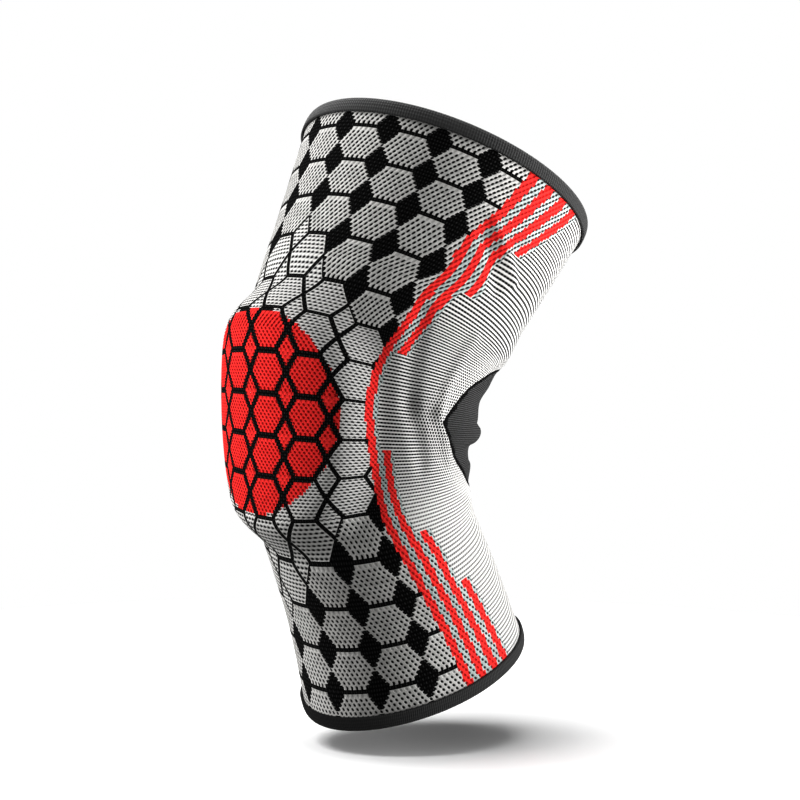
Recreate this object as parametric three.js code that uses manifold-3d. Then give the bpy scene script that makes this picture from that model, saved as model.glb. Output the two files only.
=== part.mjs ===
// Knit knee sleeve as worn on a bent knee: a seamless tube with a pad behind the kneecap,
// a mesh panel in the hollow of the knee and a tape folded over each edge.
// Millimetres, +Z up. The origin is the middle of the knee, the kneecap faces -Y,
// and the knee bends in the plane X = 0.
import * as THREE from 'three';
import { ParametricGeometry } from 'three/addons/geometries/ParametricGeometry.js';
import { mergeVertices } from 'three/addons/utils/BufferGeometryUtils.js';
import Module from 'manifold-3d';

const { clamp, degToRad, smoothstep } = THREE.MathUtils;

// The leg inside: how it bends, and how far the sleeve reaches from the knee each way
const thighTilt = degToRad(33);
const shinTilt = degToRad(22);
const bendLength = 112;
const reach = 138;

// Sections of the knit's outer face, evenly spaced along the leg from the shin to the thigh
const sections = [
  { along: -138, halfWidth: 52, front: 60.5, back: 65.5 },
  { along: -92, halfWidth: 56, front: 50.5, back: 57 },
  { along: -46, halfWidth: 59, front: 48, back: 48 },
  { along: 0, halfWidth: 66, front: 47.5, back: 51 },
  { along: 46, halfWidth: 69.5, front: 61, back: 57.5 },
  { along: 92, halfWidth: 77, front: 65, back: 63 },
  { along: 138, halfWidth: 78.5, front: 74.5, back: 74 },
];

// Each edge reaches further along the leg at the back than at the front, by this much
const edgeSlant = { thigh: 2.5, shin: 6 };

// The raised kneecap, turned a little to the inner side of the leg with the knit
const kneecap = { turn: degToRad(-14), along: -1.5, halfTurn: degToRad(64), halfLength: 50, height: 11.5, slope: 0.34 };

// Creases that run round the side of the knit from the hollow of the knee
const creases = [
  { along: 58, height: 1.2, halfLength: 16, halfTurn: degToRad(95) },
  { along: 20, height: -1.6, halfLength: 14, halfTurn: degToRad(110) },
  { along: -12, height: -1.6, halfLength: 12, halfTurn: degToRad(110) },
  { along: -44, height: 1.0, halfLength: 14, halfTurn: degToRad(90) },
];

// Walls, and the gap that keeps neighbouring pieces apart
const knitWall = 2.2;
const tapeWall = 0.9;
const meshWall = 1.4;
const gap = 0.3;

// Tapes: how far each leg of the fold comes down over the knit
const tapeOutside = 7.5;
const tapeInside = 6;

// The pad, a lens against the inside of the kneecap
const pad = { halfTurn: degToRad(46), halfLength: 38, thickness: 6.5, gap: 0.5 };

// The mesh panel, a pointed lens across the back of the knee, and the rolls in it
const panel = { turn: degToRad(170), along: 4, halfTurn: degToRad(86), halfLength: 58 };
const rolls = [
  { along: -2, height: 4, halfLength: 10 },
  { along: -27, height: 2.4, halfLength: 10 },
];

// Fineness of the facets
const sectors = 48;
const rows = 34;

// Centre line of the leg: two straight limbs joined by an arc
const bendRate = (thighTilt + shinTilt) / bendLength;
const kneeTilt = (thighTilt - shinTilt) / 2;

function centreLine(along) {
  const bent = clamp(along, -bendLength / 2, bendLength / 2);
  const tilt = kneeTilt + bendRate * bent;
  const straight = along - bent;
  return {
    tilt,
    y: (Math.cos(kneeTilt) - Math.cos(tilt)) / bendRate + straight * Math.sin(tilt),
    z: (Math.sin(tilt) - Math.sin(kneeTilt)) / bendRate + straight * Math.cos(tilt),
  };
}

const limb = new THREE.CatmullRomCurve3(
  sections.map((row) => new THREE.Vector3(row.halfWidth, row.front, row.back)),
  false,
  'catmullrom',
);

// The shorter way round from one angle to another
function angleBetween(turn, other) {
  return Math.abs(THREE.MathUtils.euclideanModulo(turn - other + Math.PI, 2 * Math.PI) - Math.PI);
}

// A soft hump across a length, 1 in the middle and 0 at its ends
function hump(distance, halfLength) {
  return 1 - smoothstep(Math.abs(distance), 0, halfLength);
}

// How far the knit stands out from its plain section
function relief(turn, along) {
  const across = angleBetween(turn, kneecap.turn) / kneecap.halfTurn;
  const length = Math.abs(along - kneecap.along) / kneecap.halfLength;
  const fromMiddle = Math.cbrt(across ** 3 + length ** 3);
  let height = kneecap.height * (1 - smoothstep(fromMiddle, 1 - kneecap.slope, 1));
  for (const crease of creases) {
    const round = 1 - smoothstep(angleBetween(turn, panel.turn), 0.55 * crease.halfTurn, crease.halfTurn);
    height += crease.height * hump(along - crease.along, crease.halfLength) * round;
  }
  return height;
}

function slant(turn, along) {
  const most = along > 0 ? edgeSlant.thigh : edgeSlant.shin;
  return most * (along / reach) ** 3 * (1 - Math.cos(turn)) / 2;
}

// Outer face of the knit: turn is the angle round the leg from the front, towards +X
function facePoint(turn, along) {
  const { y, z, tilt } = centreLine(along + slant(turn, along));
  const section = limb.getPoint((along + reach) / (2 * reach));
  const ahead = Math.cos(turn);
  const depth = ahead > 0 ? section.y : section.z;
  const outward = new THREE.Vector2(Math.sin(turn) / section.x, ahead / depth).normalize();
  const raised = relief(turn, along);
  const forward = depth * ahead + raised * outward.y;
  return new THREE.Vector3(
    section.x * Math.sin(turn) + raised * outward.x,
    y - forward * Math.cos(tilt),
    z + forward * Math.sin(tilt),
  );
}

// A point that lies a distance outside the knit's outer face, or inside it where that is negative
function legPoint(turn, along, outside, target = new THREE.Vector3()) {
  const step = 0.5;
  const above = Math.min(along + step, reach);
  const below = Math.max(along - step, -reach);
  const round = facePoint(turn + 0.01, along).sub(facePoint(turn - 0.01, along));
  const upward = facePoint(turn, above).sub(facePoint(turn, below));
  const normal = round.cross(upward).normalize();
  return target.copy(facePoint(turn, along)).addScaledVector(normal, outside);
}

// A closed ring round the leg from its section, outer side upwards and inner side back down
function ring(section) {
  const loop = [...section, section[0]];
  const geometry = new ParametricGeometry((u, v, target) => {
    const { along, outside } = loop[Math.round(v * section.length)];
    legPoint(2 * Math.PI * u, along, outside, target);
  }, sectors, section.length);
  return weld(geometry);
}

// A plain geometry laid on the leg, point by point
function layOnLeg(geometry, place) {
  const position = geometry.getAttribute('position');
  const point = new THREE.Vector3();
  for (let i = 0; i < position.count; i++) {
    const { turn, along, outside } = place(point.fromBufferAttribute(position, i));
    legPoint(turn, along, outside, point);
    position.setXYZ(i, point.x, point.y, point.z);
  }
  return weld(geometry);
}

function weld(geometry) {
  geometry.deleteAttribute('normal');
  geometry.deleteAttribute('uv');
  return mergeVertices(geometry, 1e-3);
}

// The knit tube stops inside the fold of each tape, and its rows are closest at the knee
const knitReach = reach - tapeWall - gap;
const rowPlaces = Array.from({ length: rows + 1 }, (_, i) => {
  const t = (2 * i) / rows - 1;
  return knitReach * (0.72 * t + 0.28 * t ** 3);
});

function knitTube() {
  return ring([
    ...rowPlaces.map((along) => ({ along, outside: 0 })),
    ...rowPlaces.toReversed().map((along) => ({ along, outside: -knitWall })),
  ]);
}

// A tape folded over the edge: side is +1 at the thigh and -1 at the shin
function tape(side) {
  const outer = gap + tapeWall;
  const inner = -knitWall - gap - tapeWall;
  const fold = (outer - inner) / 2;
  const middle = (outer + inner) / 2;
  const round = [0, 1, 2, 3, 4].map((i) => {
    const a = (i * Math.PI) / 4;
    return { along: reach - tapeWall + tapeWall * Math.sin(a), outside: middle + fold * Math.cos(a) };
  });
  const section = [
    { along: reach - tapeOutside, outside: outer },
    ...round,
    { along: reach - tapeInside, outside: inner },
    { along: reach - tapeInside, outside: -knitWall - gap },
    { along: knitReach + gap, outside: -knitWall - gap },
    { along: knitReach + gap, outside: gap },
    { along: reach - tapeOutside, outside: gap },
  ];
  if (side > 0) return ring(section);
  return ring(section.map((corner) => ({ ...corner, along: -corner.along })).reverse());
}

// A ball pressed flat against the inside of the kneecap
function kneePad() {
  const ball = new THREE.SphereGeometry(1, 28, 14).rotateX(Math.PI / 2);
  return layOnLeg(ball, ({ x, y, z }) => ({
    turn: kneecap.turn + pad.halfTurn * x,
    along: kneecap.along + pad.halfLength * y,
    outside: -knitWall - pad.gap - (pad.thickness / 2) * (1 - z),
  }));
}

// Half the panel's width at a height from -1 to 1, as a share of its widest
function panelShare(height) {
  const h = Math.abs(height);
  return Math.max(1 - 0.6 * h - 0.4 * h ** 4, 0.05);
}

// The panel, or the block that cuts its window when it is grown and made to pass through the wall
function panelBlock(grow, outerFace, innerFace) {
  const halfLength = panel.halfLength + grow;
  const sheet = new THREE.BoxGeometry(2, 2, 1, 20, 16, 1);
  return layOnLeg(sheet, ({ x, y, z }) => {
    const along = panel.along + halfLength * y;
    const halfTurn = panel.halfTurn * panelShare(y) + grow / 40;
    const inMiddle = (1 - x ** 2) * (1 - y ** 2);
    const face = z > 0 ? outerFace : innerFace;
    return { turn: panel.turn + halfTurn * x, along, outside: face(along, inMiddle) };
  });
}

function rollHeight(along, inMiddle) {
  return inMiddle * rolls.reduce((sum, roll) => sum + roll.height * hump(along - roll.along, roll.halfLength), 0);
}

function meshPanel() {
  const outerSkin = (knitWall - meshWall) / 2;
  return panelBlock(
    0,
    (along, inMiddle) => rollHeight(along, inMiddle) - outerSkin,
    (along, inMiddle) => rollHeight(along, inMiddle) - outerSkin - meshWall,
  );
}

const wasm = await Module();
wasm.setup();

function toManifold(geometry) {
  return new wasm.Manifold(new wasm.Mesh({
    numProp: 3,
    vertProperties: geometry.getAttribute('position').array,
    triVerts: new Uint32Array(geometry.getIndex().array),
  }));
}

function fromManifold(solid) {
  const mesh = solid.getMesh();
  const geometry = new THREE.BufferGeometry();
  geometry.setAttribute('position', new THREE.BufferAttribute(mesh.vertProperties, 3));
  geometry.setIndex(new THREE.BufferAttribute(mesh.triVerts, 1));
  return geometry;
}

const windowCutter = panelBlock(gap, () => 1, () => -knitWall - 1);
const sleeve = toManifold(knitTube()).subtract(toManifold(windowCutter));

const knit = new THREE.MeshStandardMaterial({ color: 0xb9b9b6, roughness: 0.92, metalness: 0 });
const mesh = new THREE.MeshStandardMaterial({ color: 0x1b1b1d, roughness: 0.88, metalness: 0 });
const silicone = new THREE.MeshStandardMaterial({ color: 0x3a3a3c, roughness: 0.55, metalness: 0 });
const tapeCloth = new THREE.MeshStandardMaterial({ color: 0x2e2e30, roughness: 0.9, metalness: 0 });

const kneeSleeve = new THREE.Group();
kneeSleeve.name = 'knee_sleeve';

function addPiece(name, geometry, material) {
  const piece = new THREE.Mesh(geometry, material);
  piece.name = name;
  kneeSleeve.add(piece);
}

addPiece('knit_sleeve', fromManifold(sleeve), knit);
addPiece('back_mesh', meshPanel(), mesh);
addPiece('patella_pad', kneePad(), silicone);
addPiece('top_binding', tape(1), tapeCloth);
addPiece('bottom_binding', tape(-1), tapeCloth);

export default kneeSleeve;
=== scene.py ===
"""A knitted knee sleeve, worn on a bent knee: jacquard knit, mesh panel, kneecap pad and edge tapes."""
import math

import bmesh
import bpy
import numpy as np
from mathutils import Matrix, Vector


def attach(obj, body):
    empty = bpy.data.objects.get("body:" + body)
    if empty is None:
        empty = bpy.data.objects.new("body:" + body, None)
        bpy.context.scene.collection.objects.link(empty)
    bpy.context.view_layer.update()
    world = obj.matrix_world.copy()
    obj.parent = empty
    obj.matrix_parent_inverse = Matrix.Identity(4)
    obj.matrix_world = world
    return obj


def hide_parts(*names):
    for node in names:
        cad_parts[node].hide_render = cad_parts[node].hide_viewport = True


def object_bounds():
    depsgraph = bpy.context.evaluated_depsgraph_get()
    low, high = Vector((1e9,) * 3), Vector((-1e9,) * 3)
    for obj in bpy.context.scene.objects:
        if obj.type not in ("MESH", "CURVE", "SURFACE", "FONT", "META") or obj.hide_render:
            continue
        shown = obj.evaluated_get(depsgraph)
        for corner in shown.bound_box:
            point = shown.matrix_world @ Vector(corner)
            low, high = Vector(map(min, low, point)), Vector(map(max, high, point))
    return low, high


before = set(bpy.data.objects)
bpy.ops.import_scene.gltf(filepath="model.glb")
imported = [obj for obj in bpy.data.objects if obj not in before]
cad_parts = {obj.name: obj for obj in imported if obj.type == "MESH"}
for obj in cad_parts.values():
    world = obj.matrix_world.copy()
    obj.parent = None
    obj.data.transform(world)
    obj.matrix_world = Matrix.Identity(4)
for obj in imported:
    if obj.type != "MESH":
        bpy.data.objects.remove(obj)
cad_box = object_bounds()

# Sizes are in millimetres, as in the part's source, and points become metres when they are placed
MM = 0.001

# The leg inside
THIGH_TILT = math.radians(33)
SHIN_TILT = math.radians(22)
BEND_LENGTH = 112
REACH = 138
BEND_RATE = (THIGH_TILT + SHIN_TILT) / BEND_LENGTH
KNEE_TILT = (THIGH_TILT - SHIN_TILT) / 2

# Sections of the knit's outer face, evenly spaced from the shin to the thigh: half width, front, back
SECTIONS = np.array((
    (52, 60.5, 65.5),
    (56, 50.5, 57),
    (59, 48, 48),
    (66, 47.5, 51),
    (69.5, 61, 57.5),
    (77, 65, 63),
    (78.5, 74.5, 74),
))

# How much further each edge reaches along the leg at the back than at the front
THIGH_SLANT = 2.5
SHIN_SLANT = 6

# Walls
KNIT_WALL = 2.2
TAPE_WALL = 0.9
MESH_WALL = 1.4
GAP = 0.3

# The edge tapes: how far they reach outside and inside, and how their outer face swells and lifts
TAPE_OUTSIDE = 7.5
TAPE_INSIDE = 6
TAPE_BULGE = 0.4
TAPE_LIFT = 0.2
TAPE_PLAY = 0.1
TAPE_SECTORS = 192

# The raised kneecap
KNEECAP_TURN = math.radians(-14)
KNEECAP_ALONG = -1.5
KNEECAP_HALF_TURN = math.radians(64)
KNEECAP_HALF_LENGTH = 50
KNEECAP_HEIGHT = 11.5
KNEECAP_SLOPE = 0.34

# The pad behind it
PAD_HALF_TURN = math.radians(46)
PAD_HALF_LENGTH = 38
PAD_THICKNESS = 6.5
PAD_GAP = 0.5

# The mesh panel behind the knee
PANEL_TURN = math.radians(170)
PANEL_ALONG = 4
PANEL_HALF_TURN = math.radians(86)
PANEL_HALF_LENGTH = 58
PANEL_SINK = 0.2

# Degrees of dark knit round the panel
PANEL_BORDER = 3

# Creases round the side of the knit: along, height, half length, half turn in degrees
CREASES = (
    (58, 1.2, 16, 95),
    (20, -1.6, 14, 110),
    (-12, -1.6, 12, 110),
    (-44, 1.0, 14, 90),
)

# Rolls in the mesh panel: along, height, half length
ROLLS = (
    (-2, 4.2, 6.5),
    (-27, 2.4, 6.5),
)

# Tucks at the sides of the knee, by turn from the kneecap's middle and place along the leg at both ends,
# height and half width
TUCKS = (
    (74, 44, 76, 10, -1.6, 9),
    (76, 10, 86, -14, -1.4, 8),
    (103, 46, 93, 8, 1.3, 6),
    (93, 8, 106, -14, 1.1, 6),
    (84, 99, 106, 80, 1.9, 5),
    (82, 90, 100, 72, -1.6, 6),
)

# The knit's pattern on the leg: along, row line, turn of its middle and width of a column in degrees
PATTERN = np.array((
    (-138, 15.9, -20, 26.3),
    (-118, 15, -21, 26.3),
    (-74.5, 13, -23.7, 25.8),
    (-51.5, 12, -25, 25.4),
    (-33, 11, -17, 21.7),
    (-5, 9, -12.3, 19.9),
    (35, 6, -12.5, 20.4),
    (47.5, 5, -12, 20.4),
    (66.5, 4, -8.5, 21),
    (88, 3, -5.5, 20.4),
    (124, 1, -3, 20.7),
    (138, 0.22, -2, 20.7),
))
PATTERN_COLUMNS = 20
PATTERN_ROWS = 16

# Length round the leg of one degree, at the sides of the knee
MM_PER_DEGREE = 1.2

# Fineness of the knit's mesh
KNIT_COLUMNS = 232
KNIT_ROWS = 196


def smoothstep(value, low, high):
    t = np.clip((value - low) / (high - low), 0, 1)
    return t * t * (3 - 2 * t)


def hump(distance, half_length):
    return 1 - smoothstep(np.abs(distance), 0, half_length)


def angle_between(turn, other):
    return np.abs((turn - other + np.pi) % (2 * np.pi) - np.pi)


def curve_through(places, values, at):
    """A smooth curve through a table's rows, read at any places between them."""
    slopes = np.gradient(values, places, axis=0)
    i = np.clip(np.searchsorted(places, at) - 1, 0, len(places) - 2)
    width = places[i + 1] - places[i]
    t = (at - places[i]) / width
    return (
        values[i] * (1 + 2 * t) * (1 - t) ** 2
        + slopes[i] * width * t * (1 - t) ** 2
        + values[i + 1] * t * t * (3 - 2 * t)
        - slopes[i + 1] * width * t * t * (1 - t)
    )


def limb_section(along):
    """Half width, front and back of the section at each place, by the source's even spline."""
    last = len(SECTIONS) - 1
    t = np.clip((along + REACH) / (2 * REACH), 0, 1) * last
    i = np.minimum(t.astype(int), last - 1)
    u = (t - i)[:, None]
    rows = np.vstack((2 * SECTIONS[0] - SECTIONS[1], SECTIONS, 2 * SECTIONS[-1] - SECTIONS[-2]))
    p0, p1, p2, p3 = rows[i], rows[i + 1], rows[i + 2], rows[i + 3]
    bend = (2 * p0 - 5 * p1 + 4 * p2 - p3) * u + (3 * p1 - p0 - 3 * p2 + p3) * u * u
    return (p1 + 0.5 * u * ((p2 - p0) + bend)).T


def centre_line(along):
    bent = np.clip(along, -BEND_LENGTH / 2, BEND_LENGTH / 2)
    tilt = KNEE_TILT + BEND_RATE * bent
    straight = along - bent
    y = (math.cos(KNEE_TILT) - np.cos(tilt)) / BEND_RATE + straight * np.sin(tilt)
    z = (np.sin(tilt) - math.sin(KNEE_TILT)) / BEND_RATE + straight * np.cos(tilt)
    return y, z, tilt


def relief(turn, along):
    """How far the knit stands out from its plain section."""
    across = angle_between(turn, KNEECAP_TURN) / KNEECAP_HALF_TURN
    length = np.abs(along - KNEECAP_ALONG) / KNEECAP_HALF_LENGTH
    height = KNEECAP_HEIGHT * (1 - smoothstep(np.cbrt(across ** 3 + length ** 3), 1 - KNEECAP_SLOPE, 1))
    from_back = angle_between(turn, PANEL_TURN)
    for place, rise, half_length, half_turn in CREASES:
        limit = math.radians(half_turn)
        height += rise * hump(along - place, half_length) * (1 - smoothstep(from_back, 0.55 * limit, limit))
    return height + tucks(turn, along)


def tucks(turn, along):
    """Fine folds of the knit, the same on both sides of the leg."""
    side = np.degrees(angle_between(turn, KNEECAP_TURN))
    height = np.zeros_like(side)
    for from_side, from_along, to_side, to_along, rise, half_width in TUCKS:
        run = np.array(((to_side - from_side) * MM_PER_DEGREE, to_along - from_along))
        x = (side - from_side) * MM_PER_DEGREE
        y = along - from_along
        t = np.clip((x * run[0] + y * run[1]) / (run @ run), 0, 1)
        height += rise * hump(np.hypot(x - t * run[0], y - t * run[1]), half_width)
    return height


def slant(turn, along):
    most = np.where(along > 0, THIGH_SLANT, SHIN_SLANT)
    return most * (along / REACH) ** 3 * (1 - np.cos(turn)) / 2


def face_point(turn, along):
    y, z, tilt = centre_line(along + slant(turn, along))
    half_width, front, back = limb_section(along)
    ahead = np.cos(turn)
    depth = np.where(ahead > 0, front, back)
    out_x, out_y = np.sin(turn) / half_width, ahead / depth
    scale = relief(turn, along) / np.hypot(out_x, out_y)
    forward = depth * ahead + scale * out_y
    across = half_width * np.sin(turn) + scale * out_x
    return np.stack((across, y - forward * np.cos(tilt), z + forward * np.sin(tilt)), axis=1)


def leg_point(turn, along, outside):
    """Points that lie a distance outside the knit's outer face, in metres."""
    above = np.minimum(along + 0.5, REACH)
    below = np.maximum(along - 0.5, -REACH)
    round_leg = face_point(turn + 0.01, along) - face_point(turn - 0.01, along)
    up_leg = face_point(turn, above) - face_point(turn, below)
    normal = np.cross(round_leg, up_leg)
    normal /= np.linalg.norm(normal, axis=1)[:, None]
    return MM * (face_point(turn, along) + normal * np.asarray(outside).reshape(-1, 1))


def panel_half_turn(along):
    """Half the mesh panel's angle round the leg at each height, and 0 above and below it."""
    h = np.abs(along - PANEL_ALONG) / PANEL_HALF_LENGTH
    share = np.maximum(1 - 0.6 * h - 0.4 * h ** 4, 0.05)
    return np.where(h < 1, PANEL_HALF_TURN * share, 0)


class Flow:
    """A socket in a material: arithmetic on it adds Math nodes."""

    def __init__(self, tree, socket):
        self.tree = tree
        self.socket = socket

    def node(self, kind, settings=None, sockets=None, output=0):
        """Any other node, from its type, its settings and its sockets' values or links."""
        made = self.tree.nodes.new(kind)
        for name, value in (settings or {}).items():
            setattr(made, name, value)
        for name, value in (sockets or {}).items():
            if isinstance(value, Flow):
                self.tree.links.new(value.socket, made.inputs[name])
            else:
                made.inputs[name].default_value = value
        return Flow(self.tree, made.outputs[output])

    def math(self, operation, *values):
        return self.node("ShaderNodeMath", {"operation": operation}, dict(enumerate(values)))

    def __add__(self, other):
        return self.math("ADD", self, other)

    __radd__ = __add__

    def __sub__(self, other):
        return self.math("SUBTRACT", self, other)

    def __rsub__(self, other):
        return self.math("SUBTRACT", other, self)

    def __mul__(self, other):
        return self.math("MULTIPLY", self, other)

    __rmul__ = __mul__

    def __truediv__(self, other):
        return self.math("DIVIDE", self, other)

    def __lt__(self, other):
        return self.math("LESS_THAN", self, other)

    def __gt__(self, other):
        return self.math("GREATER_THAN", self, other)

    def __abs__(self):
        return self.math("ABSOLUTE", self)

    def __and__(self, other):
        return self.math("MINIMUM", self, other)

    def __or__(self, other):
        return self.math("MAXIMUM", self, other)

    def __mod__(self, other):
        return self.math("FLOORED_MODULO", self, other)

    def floor(self):
        return self.math("FLOOR", self)

    def part(self):
        return self.math("FRACT", self)

    def root(self):
        return self.math("SQRT", self)

    def pick(self, where_one, where_zero):
        """Of two values, the first where this mask is 1 and the second where it is 0."""
        return self.node("ShaderNodeMix", None, {0: self, 2: where_zero, 3: where_one})

    def tint(self, where_one, where_zero):
        """Of two colours, the first where this mask is 1 and the second where it is 0."""
        return self.node("ShaderNodeMix", {"data_type": "RGBA"}, {0: self, 6: where_zero, 7: where_one}, 2)

    def ramp(self, low, high):
        """From 0 at low to 1 at high."""
        return self.node("ShaderNodeMapRange", {"interpolation_type": "SMOOTHSTEP"},
                         {"Value": self, "From Min": low, "From Max": high})


def grey(value, warmth=0.0):
    return (value * (1 + warmth), value, value * (1 - 2 * warmth), 1)


def new_material(name, roughness, sheen=0.0):
    """A material with its shader, and a start for its sums."""
    material = bpy.data.materials.new(name)
    material.use_nodes = True
    shader = material.node_tree.nodes["Principled BSDF"]
    shader.inputs["Roughness"].default_value = roughness
    shader.inputs["Specular IOR Level"].default_value = 0.03
    shader.inputs["Sheen Weight"].default_value = sheen
    shader.inputs["Sheen Roughness"].default_value = 0.3
    return material, Flow(material.node_tree, None), shader


def finish_material(start, shader, colour, height=None, depth=0.0, roughness=None):
    tree = start.tree
    tree.links.new(colour.socket, shader.inputs["Base Color"])
    if roughness is not None:
        tree.links.new(roughness.socket, shader.inputs["Roughness"])
    if height is not None:
        bump = start.node("ShaderNodeBump", None, {"Strength": 1.0, "Distance": depth, "Height": height})
        tree.links.new(bump.socket, shader.inputs["Normal"])


def read_map(start, name):
    """The two coordinates of one of the piece's own maps."""
    place = start.node("ShaderNodeUVMap", {"uv_map": name})
    split = start.node("ShaderNodeSeparateXYZ", None, {0: place})
    return split, Flow(start.tree, split.socket.node.outputs[1])


# Yarns, and a painted shade of the red yarn
LIGHT_YARN = grey(0.72, 0.012)
RING_YARN = grey(0.76, 0.01)
SIDE_YARN = grey(0.77, 0.01)
BETWEEN_YARN = (0.60, 0.67, 0.66, 1)
DARK_YARN = grey(0.003)
DARK_LOOP = grey(0.030)
RED_YARN = (0.96, 0.062, 0.057, 1)
# Painted shade, not a yarn: the red as it looks in the shaded gaps between its loops
RED_PAINTED_SHADE = (0.28, 0.004, 0.004, 1)

# The pattern's own numbers, in columns and rows of hexagons
DOTS_TO_COLUMN = 9
WALES_TO_COLUMN = 18
HEX_SLOPE = 0.52
KNEE_ROW = 8.5
RED_HALF_COLUMNS = 2.25
RED_HALF_ROWS = 2.5
RING_REACH = 5.0
RED_LINE = 0.074
RING_LINE = 0.05
RED_BAR = 0.10
PLAIN_BAR = 0.06
STRIPE_STEP = 0.335
STRIPE_HALF = 0.265
STRIPE_KNEE_ROW = 8
STRIPE_FRONT = 2.66
LEAN_ROW = 6.5
COURSES_TO_ROW = 10

# Threads over the whole of a piece's map: round the leg, and along it or round the tape's section
SIDE_DOTS_ROUND = 216
REVERSE_WALES = 260
REVERSE_COURSES = 170
MESH_EYES = 300
MESH_RIBS = 260
TAPE_RIBS = 340
TAPE_WEFTS = 14

# Ends of the three short stripes behind the long one: lowest row above the knee, highest row below it
STRIPE_ENDS = ((6.5, 9.3), (4.3, 11.65), (2.9, 13.1))


def spot(across, along, half_across, half_along, soft_from, soft_to):
    """1 in the middle of a small oval and 0 outside it."""
    x = across / half_across
    y = along / half_along
    return 1 - (x * x + y * y).root().ramp(soft_from, soft_to)


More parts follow.
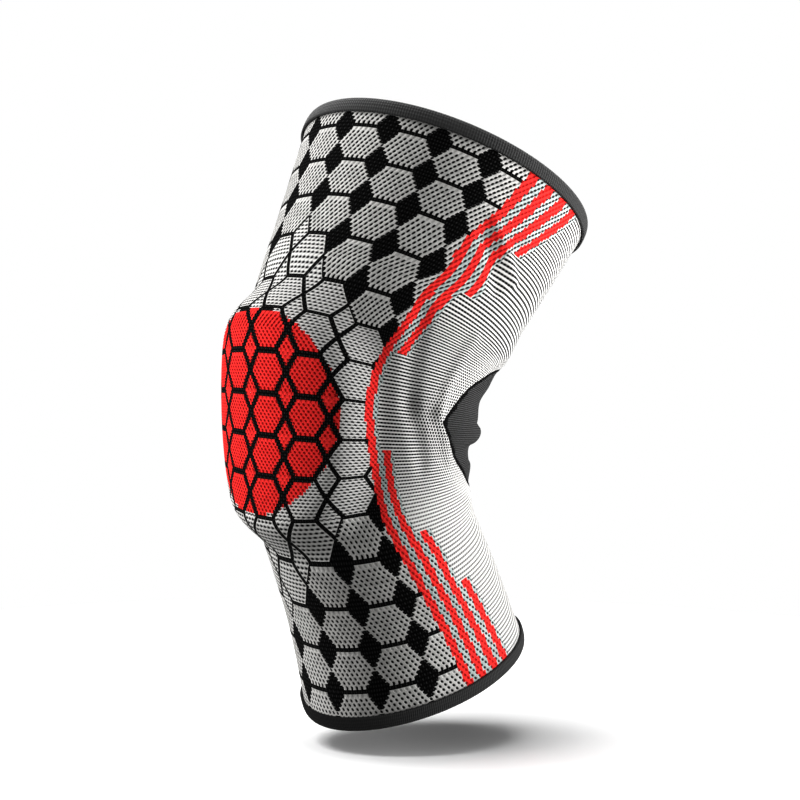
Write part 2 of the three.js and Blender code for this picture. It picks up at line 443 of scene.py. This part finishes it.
def knit_material():
    material, start, shader = new_material("jacquard_knit", 0.9, 0.01)
    u, v = read_map(start, "pattern")
    wrap, _ = read_map(start, "wrap")
    hollow = start.node("ShaderNodeAttribute", {"attribute_name": "hollow"}, None, 2)
    column = (u - 0.5) * PATTERN_COLUMNS
    row = (1 - v) * PATTERN_ROWS

    # Courses: ten to a row of hexagons, and thirteen at the kneecap
    at_kneecap = abs(row - KNEE_ROW) < RED_HALF_ROWS
    courses = at_kneecap * 3 + COURSES_TO_ROW
    course_place = row * courses + 0.5
    course = course_place.floor()
    loop_along = course_place.part() - 0.5
    offset = (course % 2) * 0.5
    stitch_row = course / courses
    wale = ((column * WALES_TO_COLUMN).floor() + 0.5) / WALES_TO_COLUMN

    # Dark gaps between the loops, every second row moved over by half, leaning as the loops pull
    loop_place = column * DOTS_TO_COLUMN + offset
    loop_across = loop_place.part() - 0.5
    low = row > LEAN_ROW
    lean = low.pick(-0.3, 0.3)
    length = low.pick(0.3, 0.4)
    gap = spot(loop_across + lean * loop_along, loop_along, 0.19, length, 0.65, 1.8)
    loop_cell = start.node("ShaderNodeCombineXYZ", None, {0: loop_place.floor(), 1: course})
    uneven = start.node("ShaderNodeTexWhiteNoise", {"noise_dimensions": "2D"}, {"Vector": loop_cell})

    # Hexagons, with diamonds between their slanted sides
    in_row = stitch_row.part()
    slant = abs(in_row - 0.5) * HEX_SLOPE
    in_hex = (0.5 - slant - abs(wale.part() - 0.5)) > 0
    hex_ring = (abs(wale.floor() + 0.5) + abs(stitch_row.floor() + 0.5 - KNEE_ROW)) < RING_REACH
    gap_ring = (abs((wale + 0.5).floor()) + abs((stitch_row + 0.5).floor() - KNEE_ROW)) < RING_REACH
    ring = in_hex.pick(hex_ring, gap_ring)
    red_x = wale / RED_HALF_COLUMNS
    red_y = (stitch_row - KNEE_ROW) / RED_HALF_ROWS
    red = (red_x * red_x + red_y * red_y) < 1
    outlined = ring | red
    bar = in_row < red.pick(RED_BAR, PLAIN_BAR)
    from_side = abs(column.part() - 0.5) - 0.5
    stepped_line = abs(from_side + slant) < RED_LINE
    plain_line = abs(from_side + abs(row.part() - 0.5) * HEX_SLOPE) < RING_LINE
    line = red.pick(stepped_line, plain_line)
    dark = outlined.pick(line | (bar & in_hex), (1 - in_hex) | bar)

    # Loops of each yarn: close at a hexagon's top, toothed at its foot
    foot = (in_row > 0.88) & (abs(loop_across) < 0.2) & (loop_along > -0.2)
    head = in_row < 0.18
    holes = (gap * (1 - head * 0.65)) | foot | uneven * 0.25
    light = holes.tint(DARK_YARN, LIGHT_YARN)
    course_line = (1 - abs(loop_along).ramp(0.1, 0.4)) * 0.35
    course_gap = spot(loop_across, loop_along, 0.36, 0.24, 0.5, 1.7) | course_line
    ribbed = course_gap.tint(DARK_YARN, RING_YARN)
    # The red's gaps between loops get painted shade, a darker copy of the red yarn
    red_loops = holes.tint(RED_PAINTED_SHADE, RED_YARN)
    wale_across = (column * WALES_TO_COLUMN).part() - 0.5
    black = spot(wale_across, loop_along, 0.3, 0.3, 0.4, 1.4).tint(DARK_LOOP, DARK_YARN)
    front = dark.tint(black, red.tint(red_loops, ring.tint(ribbed, light)))

    # Plain rib at the sides and the back: fine lines, which open to dots at the mesh panel
    side_place = row * COURSES_TO_ROW + 0.5
    side_along = side_place.part() - 0.5
    side_across = (wrap * SIDE_DOTS_ROUND + (side_place.floor() % 2) * 0.5).part() - 0.5
    side_line = (1 - abs(side_along).ramp(0.08, 0.36)) * (1.5 - abs(side_across) * 1.6)
    side_dot = spot(side_across, side_along, 0.32, 0.36, 0.6, 1.4)
    side_gap = hollow.ramp(-24, -8).pick(side_dot, side_line) * (1 - row.ramp(9, 11.5) * 0.4)
    side = side_gap.tint(DARK_YARN, SIDE_YARN)

    # Red stripes: one long one along the front's edge, and three short ones behind it
    from_knee = stitch_row - STRIPE_KNEE_ROW
    parting = (from_knee > 0).pick(0.157, 0.17)
    front_edge = (from_knee * from_knee + 0.36).root() * parting + STRIPE_FRONT
    bow_back = stitch_row.ramp(3.6, 5.2) - stitch_row.ramp(5.2, 7.2)
    bow_forward = stitch_row.ramp(2, 3.2) - stitch_row.ramp(3.2, 4.2)
    front_edge = front_edge + bow_back * 0.2 - bow_forward * 0.12
    spread = 1.35 - stitch_row.ramp(0.3, 3) * 0.35
    stripe_place = (abs(wale) - front_edge) / (spread * STRIPE_STEP)
    stripe = (stripe_place + 0.5).floor()
    in_stripe = abs(stripe_place - stripe) < STRIPE_HALF
    shown = abs(stripe) < 0.5
    for index, (above, below) in enumerate(STRIPE_ENDS, 1):
        reached = (stitch_row < above) | (stitch_row > below)
        shown = shown | ((abs(stripe - index) < 0.5) & reached)
    # The stripes' gaps between loops get the same painted shade of the red
    stripe_loops = (gap * 0.6).tint(RED_PAINTED_SHADE, RED_YARN)
    between = (gap | uneven * 0.3).tint(DARK_LOOP, BETWEEN_YARN)
    behind = shown.tint(in_stripe.tint(stripe_loops, between), side)
    in_front = stripe_place < -STRIPE_HALF
    knit = in_front.tint(front, behind)

    # The knit turns dark at the mesh panel
    colour = (hollow > 0).tint(black, knit)
    loops = (in_front | shown).pick(1 - gap, 1 - side_gap)
    finish_material(start, shader, colour, loops, 0.0004)
    return material


def reverse_material():
    """The inside of the knit, where the yarns float behind each other."""
    material, start, shader = new_material("knit_reverse", 0.95, 0.03)
    u, v = read_map(start, "wrap")
    course = v * REVERSE_COURSES
    wale_across = (u * REVERSE_WALES + (course.floor() % 2) * 0.5).part() - 0.5
    course_along = course.part() - 0.5
    loop = (wale_across * wale_across + course_along * course_along).root().ramp(0.2, 0.45)
    place = start.node("ShaderNodeTexCoord", None, None, 3)
    cloud = start.node("ShaderNodeTexNoise", None, {"Vector": place, "Scale": 40.0, "Detail": 3.0})
    colour = (loop * 0.6 + cloud * 0.4).tint(grey(0.03), grey(0.32))
    finish_material(start, shader, colour, 1 - loop, 0.0003)
    return material


def mesh_material():
    material, start, shader = new_material("back_mesh_rib", 0.85, 0.05)
    u, v = read_map(start, "wrap")
    rib = abs((v * MESH_RIBS).part() - 0.5)
    eye = abs((u * MESH_EYES).part() - 0.5)
    raised = rib.ramp(0.1, 0.4)
    hole = (1 - eye.ramp(0.1, 0.3)) * (1 - raised)
    colour = (raised * 0.8 + (1 - hole) * 0.2).tint(grey(0.12), grey(0.05))
    finish_material(start, shader, colour, raised - hole, 0.0005)
    return material


def tape_material():
    material, start, shader = new_material("binding_tape", 0.88, 0.2)
    u, v = read_map(start, "wrap")
    rib = abs((u * TAPE_RIBS).part() - 0.5)
    weft = abs((v * TAPE_WEFTS).part() - 0.5)
    thread = rib.ramp(0.1, 0.45) * 0.6 + weft.ramp(0.1, 0.45) * 0.4
    place = start.node("ShaderNodeTexCoord", None, None, 3)
    cloud = start.node("ShaderNodeTexNoise", None, {"Vector": place, "Scale": 900.0, "Detail": 2.0})
    colour = (thread * 0.7 + cloud * 0.3).tint(grey(0.095), grey(0.055))
    finish_material(start, shader, colour, thread, 0.0003)
    return material


def silicone_material():
    material, start, shader = new_material("pad_silicone", 0.5)
    place = start.node("ShaderNodeTexCoord", None, None, 3)
    grain = start.node("ShaderNodeTexNoise", None, {"Vector": place, "Scale": 900.0, "Detail": 2.0})
    cloud = start.node("ShaderNodeTexNoise", None, {"Vector": place, "Scale": 60.0, "Detail": 3.0})
    colour = cloud.tint(grey(0.075), grey(0.05))
    finish_material(start, shader, colour, grain, 0.0001, cloud * 0.2 + 0.42)
    return material


def floor_material():
    material, start, shader = new_material("pale_floor", 0.9)
    place = start.node("ShaderNodeTexCoord", None, None, 3)
    cloud = start.node("ShaderNodeTexNoise", None, {"Vector": place, "Scale": 2.0})
    finish_material(start, shader, cloud.tint(grey(0.92), grey(0.91)))
    return material


def lay(mesh, turn, along, outside):
    """Moves a bmesh's vertices to their places on the leg."""
    for vertex, place in zip(mesh.verts, leg_point(turn, along, outside)):
        vertex.co = place


def write_map(mesh, name, across, upward):
    """Stores two numbers for each vertex as one of the piece's maps."""
    layer = mesh.loops.layers.uv.new(name)
    for face in mesh.faces:
        for loop in face.loops:
            i = loop.vert.index
            loop[layer].uv = (across[i], upward[i])


def make_piece(name, mesh, materials):
    data = bpy.data.meshes.new(name)
    mesh.to_mesh(data)
    mesh.free()
    for material in materials:
        data.materials.append(material)
    data.shade_smooth()
    piece = bpy.data.objects.new(name, data)
    bpy.context.collection.objects.link(piece)
    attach(piece, "root")
    return piece


def grid_places(mesh):
    """Each vertex's place on the starting grid, from 0 to 1 both ways."""
    mesh.verts.index_update()
    places = np.array([vertex.co[:2] for vertex in mesh.verts]) + 0.5
    return places[:, 0], places[:, 1]


def thicken(piece, wall, material_step=0):
    solid = piece.modifiers.new("wall", "SOLIDIFY")
    solid.thickness = wall * MM
    solid.offset = -1
    solid.material_offset = material_step
    solid.material_offset_rim = material_step


def knit_grid(keep_window):
    """The knit's sheet rolled round the leg: all but the window, or only what fills the window."""
    mesh = bmesh.new()
    bmesh.ops.create_grid(mesh, x_segments=KNIT_COLUMNS, y_segments=KNIT_ROWS, size=0.5)
    across, upward = grid_places(mesh)
    knit_reach = REACH - TAPE_WALL - GAP
    turn = 2 * np.pi * (across - 0.5)
    along = knit_reach * (2 * upward - 1)
    rows, middle, width = pattern_at(along)
    column = (turn - np.radians(middle)) / np.radians(width)
    write_map(mesh, "pattern", column / PATTERN_COLUMNS + 0.5, 1 - rows / PATTERN_ROWS)
    write_map(mesh, "wrap", across, upward)
    from_middle = angle_between(turn, PANEL_TURN)
    beyond = np.abs(along - PANEL_ALONG) - PANEL_HALF_LENGTH
    inside = np.where(
        beyond < 0,
        np.degrees(panel_half_turn(along) - from_middle),
        -np.hypot(np.degrees(from_middle), beyond / MM_PER_DEGREE),
    )
    hollow = mesh.verts.layers.float.new("hollow")
    for vertex in mesh.verts:
        vertex[hollow] = inside[vertex.index] + PANEL_BORDER
    lay(mesh, turn, along, mesh_rolls(turn, along) if keep_window else np.zeros(len(turn)))
    unwanted = [
        face for face in mesh.faces
        if (np.mean([inside[v.index] for v in face.verts]) > 0) != keep_window
    ]
    bmesh.ops.delete(mesh, geom=unwanted, context="FACES")
    bmesh.ops.remove_doubles(mesh, verts=mesh.verts, dist=1e-6)
    return mesh


def pattern_at(along):
    """Row line, middle and column width of the pattern at each place along the leg."""
    return [curve_through(PATTERN[:, 0], PATTERN[:, k], along) for k in (1, 2, 3)]


def mesh_rolls(turn, along):
    half = np.maximum(panel_half_turn(along), 1e-6)
    x = np.clip(angle_between(turn, PANEL_TURN) / half, 0, 1)
    y = np.clip((along - PANEL_ALONG) / PANEL_HALF_LENGTH, -1, 1)
    height = sum(
        rise * np.sqrt(np.clip(1 - ((along - place) / half_length) ** 2, 0, 1))
        for place, rise, half_length in ROLLS
    )
    return (1 - x ** 2) * (1 - y ** 2) * height - PANEL_SINK


def knit_sleeve():
    piece = make_piece("knit_sleeve_jacquard", knit_grid(False), (knit_material(), reverse_material()))
    thicken(piece, KNIT_WALL, 1)
    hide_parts("knit_sleeve")
    return piece


def back_mesh():
    piece = make_piece("back_mesh_panel", knit_grid(True), (mesh_material(),))
    thicken(piece, MESH_WALL)
    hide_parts("back_mesh")
    return piece


def edge_tape(name, side):
    """A tape folded over the edge: side is 1 at the thigh and -1 at the shin."""
    outer = GAP + TAPE_WALL
    inner = -KNIT_WALL - GAP - TAPE_WALL
    fold = (outer - inner) / 2
    middle = (outer + inner) / 2
    crown = REACH - TAPE_WALL
    bulge = outer + TAPE_BULGE - middle
    section = [(REACH - TAPE_OUTSIDE, GAP + TAPE_LIFT)]
    section += [
        (REACH - TAPE_OUTSIDE * (1 - math.sin(a)), middle + bulge * math.cos(a) ** 0.8)
        for a in np.linspace(0, 0.45 * math.pi, 9)
    ]
    section += [
        (crown + TAPE_WALL * math.sin(a), middle + fold * math.cos(a))
        for a in np.linspace(math.pi / 2, math.pi, 7)
    ]
    section += [(REACH - TAPE_INSIDE, inner), (REACH - TAPE_INSIDE, -KNIT_WALL - GAP)]
    section += [(crown - TAPE_PLAY, -KNIT_WALL - GAP), (crown - TAPE_PLAY, GAP)]
    along, outside = np.array(section + section[:1]).T
    mesh = bmesh.new()
    bmesh.ops.create_grid(mesh, x_segments=TAPE_SECTORS, y_segments=len(section), size=0.5)
    across, upward = grid_places(mesh)
    write_map(mesh, "wrap", across, upward)
    step = np.rint(upward * len(section)).astype(int)
    lay(mesh, 2 * np.pi * (across - 0.5), side * along[step], outside[step])
    bmesh.ops.remove_doubles(mesh, verts=mesh.verts, dist=1e-6)
    bmesh.ops.recalc_face_normals(mesh, faces=mesh.faces)
    piece = make_piece(name + "_tape", mesh, (TAPE,))
    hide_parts(name)
    return piece


def kneecap_pad():
    mesh = bmesh.new()
    bmesh.ops.create_uvsphere(mesh, u_segments=72, v_segments=36, radius=1)
    x, y, z = np.array([vertex.co for vertex in mesh.verts]).T
    turn = KNEECAP_TURN + PAD_HALF_TURN * x
    along = KNEECAP_ALONG + PAD_HALF_LENGTH * y
    lay(mesh, turn, along, -KNIT_WALL - PAD_GAP - PAD_THICKNESS / 2 * (1 - z))
    piece = make_piece("patella_pad_lens", mesh, (silicone_material(),))
    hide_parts("patella_pad")
    return piece


TAPE = tape_material()
knit_sleeve()
back_mesh()
top_tape = edge_tape("top_binding", 1)
bottom_tape = edge_tape("bottom_binding", -1)
kneecap_pad()

# The camera, at the photograph's angle, with the knee's middle where the photograph has it
IMAGE = 800
KNEE_PIXEL = (357.2, 422.2)
CAMERA_TURN = math.radians(46)
CAMERA_RISE = math.radians(5.6)
CAMERA_DISTANCE = 1.6
FRAME_WIDTH = 0.4
SENSOR = 36

back = Vector((
    math.sin(CAMERA_TURN) * math.cos(CAMERA_RISE),
    -math.cos(CAMERA_TURN) * math.cos(CAMERA_RISE),
    math.sin(CAMERA_RISE),
))
right = Vector((math.cos(CAMERA_TURN), math.sin(CAMERA_TURN), 0))
lens = bpy.data.cameras.new("camera")
lens.sensor_width = SENSOR
lens.lens = SENSOR * CAMERA_DISTANCE / FRAME_WIDTH
lens.shift_x = 0.5 - KNEE_PIXEL[0] / IMAGE
lens.shift_y = KNEE_PIXEL[1] / IMAGE - 0.5
camera = bpy.data.objects.new("camera", lens)
camera.location = back * CAMERA_DISTANCE
camera.rotation_mode = "QUATERNION"
camera.rotation_quaternion = (-back).to_track_quat("-Z", "Y")
bpy.context.collection.objects.link(camera)
bpy.context.scene.camera = camera

# The floor, a little below the lower edge, as the photograph has its shadow
FLOOR_DROP = 0.012
floor_mesh = bmesh.new()
bmesh.ops.create_circle(floor_mesh, cap_ends=True, segments=96, radius=0.5)
bmesh.ops.translate(floor_mesh, verts=floor_mesh.verts, vec=(0, 0, cad_box[0].z - FLOOR_DROP))
floor_data = bpy.data.meshes.new("floor")
floor_mesh.to_mesh(floor_data)
floor_mesh.free()
floor_data.materials.append(floor_material())
floor = bpy.data.objects.new("floor", floor_data)
bpy.context.collection.objects.link(floor)
floor.visible_diffuse = False


def soft_light(name, place, size, power, lit):
    """A light that faces the knee and lights only one collection's things."""
    lamp = bpy.data.lights.new(name, "AREA")
    lamp.shape = "RECTANGLE"
    lamp.size, lamp.size_y = size
    lamp.energy = power
    light = bpy.data.objects.new(name, lamp)
    light.location = place
    light.rotation_mode = "QUATERNION"
    light.rotation_quaternion = (-Vector(place)).to_track_quat("-Z", "Y")
    light.light_linking.receiver_collection = lit
    bpy.context.collection.objects.link(light)


def lit_group(name, things):
    group = bpy.data.collections.new(name)
    for thing in things:
        group.objects.link(thing)
    return group


# The lower tape lies in the shade but for a weak light, and the upper one has a light along its crown.
# No thing is in two groups, because its light then varied from run to run, so the main lights are made
# twice, for the upper tape and for the rest.
others = (floor, top_tape, bottom_tape)
lit_pieces = lit_group("lit_pieces", [
    thing for thing in bpy.context.collection.objects if thing.type == "MESH" and thing not in others
])
lit_crown = lit_group("lit_crown", [top_tape])
lit_foot = lit_group("lit_foot", [bottom_tape])
lit_floor = lit_group("lit_floor", [floor])
up = Vector((0, 0, 1))
SOFTBOX = (0.8, 0.8)
FLOOR_SOFTBOX = (1.4, 1.4)
for lit in (lit_pieces, lit_crown):
    soft_light("left_light", -right * 1.2 - back * 0.3, SOFTBOX, 14, lit)
    soft_light("high_light", -right + up - back * 0.2, SOFTBOX, 18, lit)
    soft_light("right_light", right * 1.2 + back * 0.15 + up * 0.1, SOFTBOX, 12, lit)
    soft_light("low_light", right * 1.2 + back * 0.3 - up * 0.5, SOFTBOX, 33, lit)
soft_light("crown_light", up * 1.3 - back * 0.7, SOFTBOX, 45, lit_crown)
soft_light("foot_light", right * 1.2 + back * 0.2, SOFTBOX, 20, lit_foot)
soft_light("floor_light", up * 1.2 - right * 0.35, FLOOR_SOFTBOX, 40, lit_floor)

# A white surround, which lights the knit only a little
world = bpy.data.worlds.new("studio")
world.use_nodes = True
surround = Flow(world.node_tree, None)
white = surround.node("ShaderNodeBackground", None, {"Color": (1, 1, 1, 1), "Strength": 1.0})
direction = surround.node("ShaderNodeTexCoord")
height = surround.node("ShaderNodeSeparateXYZ", None, {0: direction}, 2)
strength = height.ramp(-0.9, 0.3) * 0.3 + 0.15
fill = surround.node("ShaderNodeBackground", None, {"Color": (1, 1, 1, 1), "Strength": strength})
seen = surround.node("ShaderNodeLightPath")
shown_world = surround.node("ShaderNodeMixShader", None, {0: seen, 1: fill, 2: white})
world.node_tree.links.new(shown_world.socket, world.node_tree.nodes["World Output"].inputs["Surface"])
bpy.context.scene.world = world
bpy.context.scene.view_settings.view_transform = "Standard"
bpy.context.scene.view_settings.gamma = 0.75
